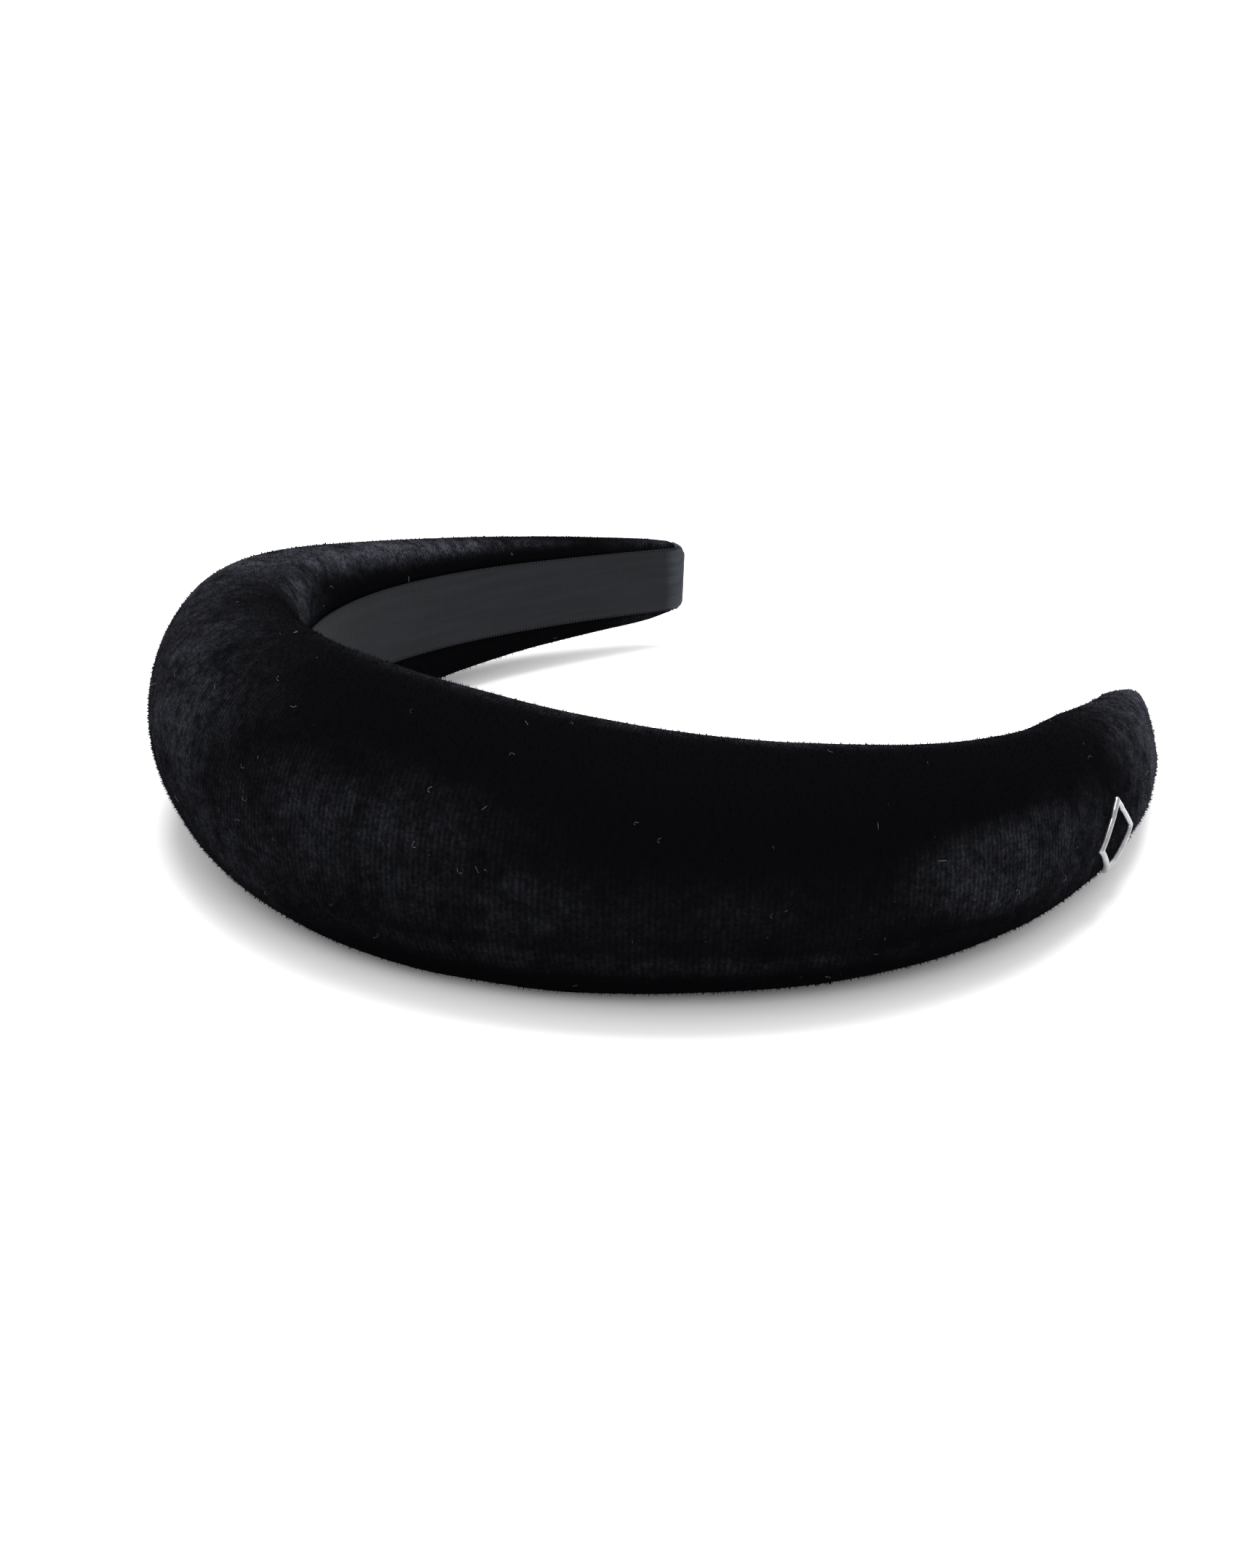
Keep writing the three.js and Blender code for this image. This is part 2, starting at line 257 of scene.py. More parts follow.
def addObject(name, mesh, material=None):
    piece = bpy.data.objects.new(name, mesh)
    bpy.context.scene.collection.objects.link(piece)
    if material:
        mesh.materials.append(material)
    mesh.shade_smooth()
    return piece


def faceOutwards(mesh):
    shape = bmesh.new()
    shape.from_mesh(mesh)
    bmesh.ops.recalc_face_normals(shape, faces=shape.faces)
    shape.to_mesh(mesh)
    shape.free()


# A closed skin over rows of points, one row per station. caps closes the ends: "flat" with one face,
# "wall" with a strip between the outer half of each row and the inner half.
def skinOver(name, points, stations, caps="flat"):
    rows, count = points.shape[:2]
    faces = []
    corners = []
    ring = np.concatenate([points, points[:, :1]], axis=1)
    around = np.cumsum(np.linalg.norm(np.diff(ring, axis=1), axis=2), axis=1)
    around = np.concatenate([np.zeros((rows, 1)), around], axis=1)
    around = around - around[:, count // 4:count // 4 + 1]
    lengths = np.asarray(stations) * arm
    for r in range(rows - 1):
        for c in range(count):
            d = (c + 1) % count
            faces.append((r * count + c, r * count + d, (r + 1) * count + d, (r + 1) * count + c))
            corners += [(lengths[r], around[r, c]), (lengths[r], around[r, c + 1])]
            corners += [(lengths[r + 1], around[r + 1, c + 1]), (lengths[r + 1], around[r + 1, c])]
    for r in (0, rows - 1):
        if caps == "flat":
            faces.append(tuple(r * count + c for c in range(count)))
            corners += [(lengths[r], around[r, c]) for c in range(count)]
        else:
            for c in range(count // 2 - 1):
                face = (c, c + 1, count - 2 - c, count - 1 - c)
                faces.append(tuple(r * count + k for k in face))
                corners += [(lengths[r], around[r, k]) for k in face]
    mesh = bpy.data.meshes.new(name)
    mesh.from_pydata([tuple(p) for p in points.reshape(-1, 3)], [], faces)
    layer = mesh.uv_layers.new(name="lay")
    layer.data.foreach_set("uv", np.array(corners, np.float32).ravel())
    faceOutwards(mesh)
    return mesh


def giveAttribute(mesh, name, values):
    attribute = mesh.attributes.new(name, "FLOAT", "POINT")
    attribute.data.foreach_set("value", np.asarray(values, np.float32).ravel())


def settle(piece):  # what the modifiers make becomes the piece's own mesh
    graph = bpy.context.evaluated_depsgraph_get()
    mesh = bpy.data.meshes.new_from_object(piece.evaluated_get(graph), depsgraph=graph)
    piece.modifiers.clear()
    piece.data = mesh
    return piece


def addModifier(piece, kind, **settings):
    modifier = piece.modifiers.new(kind.lower(), kind)
    for name, value in settings.items():
        setattr(modifier, name, value)
    return modifier


# A geometry tree with named inputs. Each input is (socket type, value); growOn runs it on a source mesh.
def startTree(name, inputs):
    tree = bpy.data.node_groups.new(name, "GeometryNodeTree")
    tree.interface.new_socket("Geometry", in_out="INPUT", socket_type="NodeSocketGeometry")
    for label, (kind, _) in inputs.items():
        tree.interface.new_socket(label, in_out="INPUT", socket_type="NodeSocket" + kind)
    tree.interface.new_socket("Geometry", in_out="OUTPUT", socket_type="NodeSocketGeometry")
    return tree, addNode(tree, "NodeGroupInput").outputs


def endTree(tree, instances, material):
    real = addNode(tree, "GeometryNodeRealizeInstances", {"Geometry": instances})
    painted = addNode(tree, "GeometryNodeSetMaterial", {"Geometry": real.outputs[0], "Material": material})
    addNode(tree, "NodeGroupOutput", {"Geometry": painted.outputs[0]})


def growOn(name, mesh, tree, inputs, material):
    source = addObject(name, mesh)
    grown = source.modifiers.new("grow", "NODES")
    grown.node_group = tree
    for item in tree.interface.items_tree:
        if item.in_out == "INPUT" and item.name in inputs:
            grown[item.identifier] = inputs[item.name][1]
    settle(source)
    source.data.materials.clear()
    source.data.materials.append(material)
    source.data.shade_smooth()
    return source


def bendOverCrown(piece):
    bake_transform(piece)


velvetFinish = {
    "black": "#050506",
    # paler grey of brushed pile, also painted on as sheen, rim highlight and floor reflection
    "brushedAndSheen": "#303137",
    "rowPitch": 0.00075,  # pile rows, drawn a little coarser than real ones so that they show
    "rowDepth": 0.00008,
    "tuftSize": 0.0006,  # coarser than real tufts too
    "blotchSize": 0.009,
    "mottleSize": 0.0022,
    "blotchRange": (0.25, 1.75),  # what each pattern multiplies the share of brushed pile and painted sheen by
    "mottleRange": (0.4, 1.6),
    "tuftRange": (0.35, 1.15),
    "rowRange": (0.55, 1.15),
    "sheenTint": "#6a6c74",
}


# Cut-pile velvet in dyed polyester, woven: it swallows light, and greys softly where the pile is brushed and
# where sheen, a rim highlight and a floor reflection are painted on.
def makeVelvet():
    material, tree, shader = startMaterial("cutPileVelvet")
    napAndSheen = addNode(tree, "ShaderNodeAttribute", attribute_name="napAndSheen")
    coords = addNode(tree, "ShaderNodeTexCoord")
    lay = addNode(tree, "ShaderNodeUVMap", uv_map="lay")
    blotches = addNode(tree, "ShaderNodeTexNoise", {
        "Vector": coords.outputs["Object"], "Scale": 1 / velvetFinish["blotchSize"],
        "Detail": 5.0, "Roughness": 0.65,
    })
    tufts = addNode(tree, "ShaderNodeTexNoise", {
        "Vector": coords.outputs["Object"], "Scale": 1 / velvetFinish["tuftSize"],
        "Detail": 2.0, "Roughness": 0.6,
    })
    rows = addNode(tree, "ShaderNodeTexWave", {
        "Vector": lay.outputs["UV"], "Scale": bandScale(velvetFinish["rowPitch"]),
        "Distortion": 1.5, "Detail": 1.0, "Detail Scale": 2.0,
    }, wave_type="BANDS", bands_direction="X")
    mottles = addNode(tree, "ShaderNodeTexNoise", {
        "Vector": coords.outputs["Object"], "Scale": 1 / velvetFinish["mottleSize"],
        "Detail": 3.0, "Roughness": 0.7,
    })
    shares = []
    for pattern, fromLow, fromHigh, key in (
        (blotches, 0.32, 0.68, "blotchRange"), (mottles, 0.35, 0.65, "mottleRange"),
        (tufts, 0.35, 0.7, "tuftRange"), (rows, 0.0, 1.0, "rowRange"),
    ):
        toLow, toHigh = velvetFinish[key]
        shares.append(addNode(tree, "ShaderNodeMapRange", {
            "Value": pattern.outputs["Fac"], "From Min": fromLow, "From Max": fromHigh,
            "To Min": toLow, "To Max": toHigh,
        }).outputs[0])
    torn = addNode(tree, "ShaderNodeMath", {0: shares[0], 1: shares[1]}, operation="MULTIPLY")
    # share of brushed pile and of painted sheen
    brushedAndSheen = napAndSheen.outputs["Fac"]
    for share in (torn.outputs[0], shares[2], shares[3]):
        brushedAndSheen = addNode(tree, "ShaderNodeMath", {0: brushedAndSheen, 1: share}, operation="MULTIPLY").outputs[0]
    colour = addNode(tree, "ShaderNodeMix", {
        0: brushedAndSheen, 6: linear(velvetFinish["black"]), 7: linear(velvetFinish["brushedAndSheen"]),
    }, data_type="RGBA")
    relief = addNode(tree, "ShaderNodeMath", {
        0: tufts.outputs["Fac"], 1: 0.8, 2: rows.outputs["Fac"],
    }, operation="MULTIPLY_ADD")
    bump = addNode(tree, "ShaderNodeBump", {
        "Height": relief.outputs[0], "Strength": 0.4, "Distance": velvetFinish["rowDepth"],
    })
    fillSockets(tree, shader, {
        "Base Color": colour.outputs[2], "Normal": bump.outputs[0], "Roughness": 0.9,
        "Specular IOR Level": 0.0, "Sheen Weight": 0.02, "Sheen Roughness": 0.3,
        "Sheen Tint": linear(velvetFinish["sheenTint"]),
    })
    return material


ribbonFinish = {
    "dark": "#0f1114",
    "light": "#15171b",
    "fold": "#33373c",  # paler near where it turns over a tip
    "ribPitch": 0.0007,
    "ribDepth": 0.00008,
    "streakLength": 0.02,
    "streakWidth": 0.0016,
    "sheenTint": "#9a9ea6",
}


# Grosgrain ribbon in matt polyester, woven: fine ribs across it, and faint paler streaks along it.
def makeRibbonCloth():
    material, tree, shader = startMaterial("grosgrainRibbon")
    lay = addNode(tree, "ShaderNodeUVMap", uv_map="lay")
    stretched = addNode(tree, "ShaderNodeMapping", {
        "Vector": lay.outputs["UV"],
        "Scale": (1 / ribbonFinish["streakLength"], 1 / ribbonFinish["streakWidth"], 1.0),
    })
    streaks = addNode(tree, "ShaderNodeTexNoise", {
        "Vector": stretched.outputs[0], "Scale": 1.0, "Detail": 4.0, "Roughness": 0.6,
    })
    ribs = addNode(tree, "ShaderNodeTexWave", {
        "Vector": lay.outputs["UV"], "Scale": bandScale(ribbonFinish["ribPitch"]), "Distortion": 0.6,
    }, wave_type="BANDS", bands_direction="X")
    fade = addNode(tree, "ShaderNodeMapRange", {
        "Value": streaks.outputs["Fac"], "From Min": 0.3, "From Max": 0.75,
    }, interpolation_type="SMOOTHSTEP")
    colour = addNode(tree, "ShaderNodeMix", {
        0: fade.outputs[0], 6: linear(ribbonFinish["dark"]), 7: linear(ribbonFinish["light"]),
    }, data_type="RGBA")
    # paler towards each tip's end, where the ribbon turns over it
    tipNearness = addNode(tree, "ShaderNodeAttribute", attribute_name="fold")
    uneven = addNode(tree, "ShaderNodeMath", {
        0: tipNearness.outputs["Fac"], 1: streaks.outputs["Fac"],
    }, operation="MULTIPLY")
    lighter = addNode(tree, "ShaderNodeMapRange", {
        "Value": uneven.outputs[0], "From Min": 0.1, "From Max": 0.7,
    })
    folded = addNode(tree, "ShaderNodeMix", {
        0: lighter.outputs[0], 6: colour.outputs[2], 7: linear(ribbonFinish["fold"]),
    }, data_type="RGBA")
    bump = addNode(tree, "ShaderNodeBump", {
        "Height": ribs.outputs["Fac"], "Strength": 0.4, "Distance": ribbonFinish["ribDepth"],
    })
    fillSockets(tree, shader, {
        "Base Color": folded.outputs[2], "Normal": bump.outputs[0], "Roughness": 0.8,
        "Specular IOR Level": 0.15, "Sheen Weight": 0.02,
        "Sheen Tint": linear(ribbonFinish["sheenTint"]),
    })
    return material


foamFinish = {"colour": "#3a3a3d", "poreShade": "#222224", "cellSize": 0.0006, "poreDepth": 0.0002}


# Polyurethane foam, cut: small open cells, with painted shade darkening their pores.
def makeFoam():
    material, tree, shader = startMaterial("cutFoam")
    coords = addNode(tree, "ShaderNodeTexCoord")
    cells = addNode(tree, "ShaderNodeTexVoronoi", {
        "Vector": coords.outputs["Object"], "Scale": 1 / foamFinish["cellSize"],
    })
    # painted shade in the pores
    colour = addNode(tree, "ShaderNodeMix", {
        0: cells.outputs["Distance"], 6: linear(foamFinish["poreShade"]), 7: linear(foamFinish["colour"]),
    }, data_type="RGBA")
    bump = addNode(tree, "ShaderNodeBump", {
        "Height": cells.outputs["Distance"], "Distance": foamFinish["poreDepth"],
    })
    fillSockets(tree, shader, {
        "Base Color": colour.outputs[2], "Normal": bump.outputs[0], "Roughness": 0.95,
    })
    return material


stripFinish = {
    "colour": "#141416",
    "lighter": "#1d1d20",
    "drawLength": 0.03,
    "drawWidth": 0.0005,
    "drawDepth": 0.00003,
}


# Polypropylene strip, extruded: a dull black with fine draw lines along it.
def makeStripPlastic():
    material, tree, shader = startMaterial("extrudedPolypropylene")
    lay = addNode(tree, "ShaderNodeUVMap", uv_map="lay")
    stretched = addNode(tree, "ShaderNodeMapping", {
        "Vector": lay.outputs["UV"],
        "Scale": (1 / stripFinish["drawLength"], 1 / stripFinish["drawWidth"], 1.0),
    })
    lines = addNode(tree, "ShaderNodeTexNoise", {
        "Vector": stretched.outputs[0], "Scale": 1.0, "Detail": 3.0,
    })
    colour = addNode(tree, "ShaderNodeMix", {
        0: lines.outputs["Fac"], 6: linear(stripFinish["colour"]), 7: linear(stripFinish["lighter"]),
    }, data_type="RGBA")
    bump = addNode(tree, "ShaderNodeBump", {
        "Height": lines.outputs["Fac"], "Distance": stripFinish["drawDepth"],
    })
    fillSockets(tree, shader, {
        "Base Color": colour.outputs[2], "Normal": bump.outputs[0], "Roughness": 0.5, "IOR": 1.49,
    })
    return material


steelFinish = {
    "colour": "#a3a4a7",
    "shade": "#6c6d70",
    "smudgeSize": 0.002,
    "grainSize": 0.00012,
    "grainDepth": 0.00002,
    "roughness": (0.16, 0.3),
}


# Stainless steel, polished: bright, with faint smudges and a fine polishing grain.
def makeSteel():
    material, tree, shader = startMaterial("polishedStainless")
    coords = addNode(tree, "ShaderNodeTexCoord")
    smudges = addNode(tree, "ShaderNodeTexNoise", {
        "Vector": coords.outputs["Object"], "Scale": 1 / steelFinish["smudgeSize"], "Detail": 3.0,
    })
    grain = addNode(tree, "ShaderNodeTexNoise", {
        "Vector": coords.outputs["Object"], "Scale": 1 / steelFinish["grainSize"], "Detail": 1.0,
    })
    colour = addNode(tree, "ShaderNodeMix", {
        0: smudges.outputs["Fac"], 6: linear(steelFinish["shade"]), 7: linear(steelFinish["colour"]),
    }, data_type="RGBA")
    smoothest, roughest = steelFinish["roughness"]
    gloss = addNode(tree, "ShaderNodeMapRange", {
        "Value": smudges.outputs["Fac"], "To Min": smoothest, "To Max": roughest,
    })
    bump = addNode(tree, "ShaderNodeBump", {
        "Height": grain.outputs["Fac"], "Strength": 0.15, "Distance": steelFinish["grainDepth"],
    })
    fillSockets(tree, shader, {
        "Base Color": colour.outputs[2], "Roughness": gloss.outputs[0], "Normal": bump.outputs[0],
        "Metallic": 1.0,
    })
    return material


lintFinish = {"dark": "#2a2b2e", "light": "#8e8e8c", "changesPerMetre": 90.0}


# Cotton lint caught in the pile, spun and broken: some fibres pale, some greyed with dust.
def makeLint():
    material, tree, shader = startMaterial("cottonLint")
    coords = addNode(tree, "ShaderNodeTexCoord")
    spread = addNode(tree, "ShaderNodeTexNoise", {
        "Vector": coords.outputs["Object"], "Scale": lintFinish["changesPerMetre"],
    })
    colour = addNode(tree, "ShaderNodeMix", {
        0: spread.outputs["Fac"], 6: linear(lintFinish["dark"]), 7: linear(lintFinish["light"]),
    }, data_type="RGBA")
    fillSockets(tree, shader, {
        "Base Color": colour.outputs[2], "Roughness": 0.9,
    })
    return material


velvetMaterial = makeVelvet()
ribbonMaterial = makeRibbonCloth()
foamMaterial = makeFoam()
stripMaterial = makeStripPlastic()
steelMaterial = makeSteel()
lintMaterial = makeLint()
print("materials made")

layers = {
    "gap": 0.0003,
    "velvet": 0.0009,
    "strip": 0.0014,
    "stripLift": 0.0007,  # padding under the strip at the crown
    "stripWidth": 0.024,
    "stripTipWidth": 0.0106,
    "stripEnd": 0.0012,  # from the tip's end
    "ribbon": 0.0005,
    "ribbonWidth": 0.0155,
    "ribbonTipWidth": 0.0131,
    "taperFrom": 0.5,  # strip and ribbon narrow from this station on
    "foamEnd": 0.92,
    "foamSlack": 0.00015,
    "foamEase": 0.001,  # how softly the foam drops beside the strip
    "stripSteps": 160,
    "foamSteps": 120,
    "foamRound": 64,
}
cavity = layers["velvet"] + layers["gap"]


def taper(t):  # share of a strip's narrowing that is done by a station
    return smooth(t, layers["taperFrom"], 1)


def ribbonHalf(t):
    return mix(layers["ribbonWidth"], layers["ribbonTipWidth"], taper(t)) / 2


def stripHalf(t):
    return mix(layers["stripWidth"], layers["stripTipWidth"], taper(t)) / 2


# A strip along the whole band with rounded long edges, between two distances out.
def longStrip(name, stations, outFrom, outTo, halfAt, lift=0.0, edgePoints=4, facePoints=9):
    middle, thick = (outFrom + outTo) / 2, outTo - outFrom
    turns = np.linspace(-np.pi / 2, np.pi / 2, edgePoints)
    edge = np.stack([np.cos(turns) * thick / 2, np.sin(turns) * thick / 2], axis=1)
    t = np.abs(stations)
    half = halfAt(t) - thick / 2
    spread = np.linspace(-1, 1, facePoints)[1:-1]
    acrossShare = np.concatenate([np.ones(edgePoints), spread[::-1], -np.ones(edgePoints), spread])
    extra = np.concatenate([edge[:, 0], np.zeros(len(spread)), -edge[:, 0], np.zeros(len(spread))])
    outs = np.concatenate([edge[:, 1], np.full(len(spread), thick / 2), -edge[:, 1],
                           np.full(len(spread), -thick / 2)])
    up = middle + (lift * (1 - taper(t)) + cornerCut(t) * bandShape["endThinning"])[:, None] + outs[None, :]
    across = half[:, None] * acrossShare[None, :] + extra[None, :]
    points = place(np.broadcast_to(stations[:, None], up.shape), up, across, noFloor)
    return skinOver(name, points, stations)


def makeSpringBand():
    end = 1 - layers["stripEnd"] / arm
    stations = np.linspace(-end, end, layers["stripSteps"] + 1)
    mesh = longStrip("springBand", stations, cavity, cavity + layers["strip"], stripHalf, layers["stripLift"])
    piece = addObject("springBand", mesh, stripMaterial)
    bendOverCrown(piece)
    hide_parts("spring_band_left", "spring_band_right")


def makeFoamPad():
    stations = np.linspace(-layers["foamEnd"], layers["foamEnd"], layers["foamSteps"] + 1)
    u, a = np.meshgrid(stations, anglesRound(layers["foamRound"]), indexing="ij")
    t = np.abs(u)
    out, across = sectionPoint(t, a, cavity + layers["foamSlack"])
    stripTop = cavity + layers["strip"] + layers["gap"] + layers["stripLift"] * (1 - taper(t))
    over = 1 - smooth(np.abs(across), stripHalf(t) + layers["gap"], stripHalf(t) + layers["foamEase"])
    innerOut = mix(out, np.maximum(out, stripTop), over)
    out = np.where(np.cos(a) < 0, innerOut, np.maximum(out, stripTop * over))
    mesh = skinOver("foamPad", place(u, out, across, cavity), stations)
    piece = addObject("foamPad", mesh, foamMaterial)
    bendOverCrown(piece)
    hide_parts("foam_pad_left", "foam_pad_right")


makeSpringBand()
makeFoamPad()
print("spring band and foam made")

cover = {
    "stationCount": 151,
    "roundCount": 60,
    "slit": 0.009,  # between the turned edges, under the ribbon
    "tipBare": 0.0022,  # length of each tip that only the ribbon covers
    "slitPoints": 3,
    "crowding": 1.25,  # more stations near the tips
    "bulgeCrown": 0.0017,  # how far the pad rises beside the ribbon
    "bulgeTip": 0.0002,
    "bulgeFades": (0.1, 0.95),
    "riseFrom": -0.0003,  # where the pad starts to rise and is full, from the ribbon's edge
    "riseTo": 0.0032,
    "inwardSpread": 0.7,
    "puff": 0.0005,  # how far the face stands out of the section
    "puffTip": 0.0011,  # the same on the outer face of the thin ends
    "puffTipFrom": (0.74, 0.84),
    "gluedFrom": -0.0004,  # under the ribbon the velvet is glued, up to here from its edge
    "gluedTo": 0.0015,
    "tipGlued": (0.95, 0.99),
    "lumps": 0.00025,
    "lumpSize": 0.016,
    "tuckDepth": 0.0003,  # soft folds where the inner side is pushed together
    "tuckSpacing": 0.011,
    "tuckWander": 1.7,
    "tuckTurns": 3,
    "tuckStarts": (0.16, 0.3),
    "tuckEnds": (0.4, 0.6),
    "pileEnds": (0.96, 0.985),
    "pileClear": (0.0008, 0.002),  # no tufts where the pile is pressed on the floor
}

# Where the velvet is painted greyer, partly for pile that is brushed up and partly as painted sheen, rim
# highlight and
# floor reflection: station, angle round the section, reach along, reach round, strength, and how crisp its
# border is.
brushedAndSheenPatches = [
    (-0.35, 45, 0.10, 40, 0.55, 1),
    (-0.21, 24, 0.11, 45, 0.55, 1),
    (-0.08, -14, 0.09, 32, 0.25, 1),
    (-0.43, 72, 0.09, 32, 0.85, 1),
    (0.06, 9, 0.11, 26, 0.20, 1.5),
    (0.15, -8, 0.10, 17, 0.14, 1.5),
    (0.30, -8, 0.13, 15, 0.07, 1),
    (0.54, 0, 0.10, 22, 0.30, 3),
    (0.62, -10, 0.08, 26, 0.25, 1),
    # painted floor reflection: a thin paler line along the front's underside
    (0.22, -33, 0.22, 6, 0.16, 1),
    # painted rim highlight: a thin paler line along the front's top edge
    (0.30, 97, 0.32, 8, 0.40, 1),
    # painted sheen on the right tip where its faces turn away, with some brushed pile
    (0.89, 0, 0.11, 90, 1.50, 1),
    (0.79, 34, 0.06, 28, 0.70, 1),
    (0.97, 60, 0.06, 80, 1.60, 1),
    # painted sheen along the left arm's top, with some brushed pile
    (-0.60, 104, 0.18, 24, 1.10, 1.5),
    (-0.37, 128, 0.05, 24, 0.75, 1),
    (-0.97, 0, 0.05, 120, 0.50, 1),
]


# Where the padding is plumper: station, angle, reach along, reach round, height.
plumpSpots = [
    (-0.42, 55, 0.13, 42, 0.0014),
    (0.08, -65, 0.30, 34, 0.0013),
    (0.76, 100, 0.10, 45, 0.0012),
    (-0.62, -115, 0.22, 45, 0.0014),
    (-0.80, 75, 0.20, 50, -0.0008),
]


def velvetSkin(station, angle, inset):
    t = np.abs(station)
    out, across = sectionPoint(t, angle, inset)
    edge = ribbonHalf(t)
    rise = smooth(np.abs(across), edge + cover["riseFrom"], edge + cover["riseTo"])
    bulge = mix(cover["bulgeCrown"], cover["bulgeTip"], smooth(t, *cover["bulgeFades"]))
    inward = np.clip(-np.cos(angle), 0, 1) ** cover["inwardSpread"]
    wander = cover["tuckWander"] * np.sin(angle * cover["tuckTurns"])
    tuck = cover["tuckDepth"] * np.sin(t * arm / cover["tuckSpacing"] * 2 * np.pi + wander)
    tuck = tuck * smooth(t, *cover["tuckStarts"]) * (1 - smooth(t, *cover["tuckEnds"]))
    return out - bulge * rise * inward - tuck * rise * inward, across


def slitAngle(station):
    t = np.abs(station)
    half = along(bandShape["widths"], t) / 2 - cornerCut(t)
    return np.arcsin((cover["slit"] / 2 / half) ** (1 / (bandShape["edgeFullness"] * roundnessAt(t))))


clothSet = {
    "frames": 20,
    "quality": 5,
    "mass": 0.2,
    "stretch": 5.0,
    "shear": 2.5,
    "bending": 0.1,
    "pressure": 60.0,
    "mostSwell": 0.001,
    "mostSink": 0.0002,  # the foam holds the velvet out
    "leastHeld": 0.01,
    "evening": 2,
}


# Cloth swells from the sewn shape, held along the ribbon and at both tips.
def swell(sewn, held, slitPoints):
    rows, count = sewn.shape[:2]
    tube = np.concatenate([sewn, slitPoints], axis=1)
    mesh = skinOver("swelling", tube, np.linspace(-1, 1, rows))
    piece = addObject("swelling", mesh)
    heldTube = np.concatenate([held, np.ones(slitPoints.shape[:2])], axis=1).ravel()
    group = piece.vertex_groups.new(name="held")
    for i in np.nonzero(heldTube > clothSet["leastHeld"])[0]:
        group.add([int(i)], float(heldTube[i]), "REPLACE")
    cloth = piece.modifiers.new("cloth", "CLOTH")
    settings = cloth.settings
    settings.quality = clothSet["quality"]
    settings.mass = clothSet["mass"]
    settings.tension_stiffness = clothSet["stretch"]
    settings.compression_stiffness = clothSet["stretch"]
    settings.shear_stiffness = clothSet["shear"]
    settings.bending_stiffness = clothSet["bending"]
    settings.use_pressure = True
    settings.uniform_pressure_force = clothSet["pressure"]
    settings.vertex_group_mass = "held"
    settings.effector_weights.gravity = 0
    cloth.collision_settings.use_collision = False
    cloth.collision_settings.use_self_collision = False
    cloth.point_cache.frame_start = 1
    cloth.point_cache.frame_end = clothSet["frames"]
    for number in range(1, clothSet["frames"] + 1):
        bpy.context.scene.frame_set(number)
    graph = bpy.context.evaluated_depsgraph_get()
    moved = piece.evaluated_get(graph).data
    points = np.zeros(len(moved.vertices) * 3)
    moved.vertices.foreach_get("co", points)
    points = points.reshape(rows, -1, 3)[:, :count]
    bpy.context.scene.frame_set(1)
    bpy.data.objects.remove(piece)
    travel = points - sewn
    reach = np.linalg.norm(travel, axis=2, keepdims=True)
    print("cloth moved up to", round(float(reach.max()) * 1000, 2), "mm")
    return travel * np.minimum(1, clothSet["mostSwell"] / np.maximum(reach, 1e-9))


def smoothOver(field, passes):  # evens a grid of vectors along and round
    for _ in range(passes):
        alongMean = (np.roll(field, 1, 0) + np.roll(field, -1, 0)) / 2
        roundMean = (np.roll(field, 1, 1) + np.roll(field, -1, 1)) / 2
        inner = (field * 2 + alongMean + roundMean) / 4
        field = np.concatenate([field[:1], inner[1:-1], field[-1:]], axis=0)
    return field


def spotAt(station, angle, where, facing, reachAlong, reachRound):  # 0 at a spot's middle, 1 at its reach
    away = np.abs((np.degrees(angle) - facing + 180) % 360 - 180)
    return ((station - where) / reachAlong) ** 2 + (away / reachRound) ** 2


def puffAt(station, angle):  # how far the velvet stands out of the sewn outline
    tips = smooth(np.abs(station), *cover["puffTipFrom"]) * np.clip(np.cos(angle), 0, 1)
    puff = mix(cover["puff"], cover["puffTip"], tips)
    for *spot, height in plumpSpots:
        puff = puff + height * np.exp(-spotAt(station, angle, *spot))
    return puff


# how much paler the velvet is painted, for brushed pile and for sheen and highlights
def napAndSheenAt(station, angle):
    total = np.zeros(np.broadcast(station, angle).shape)
    for *spot, strength, crispness in brushedAndSheenPatches:
        total = np.maximum(total, strength * np.exp(-spotAt(station, angle, *spot) ** crispness))
    return total


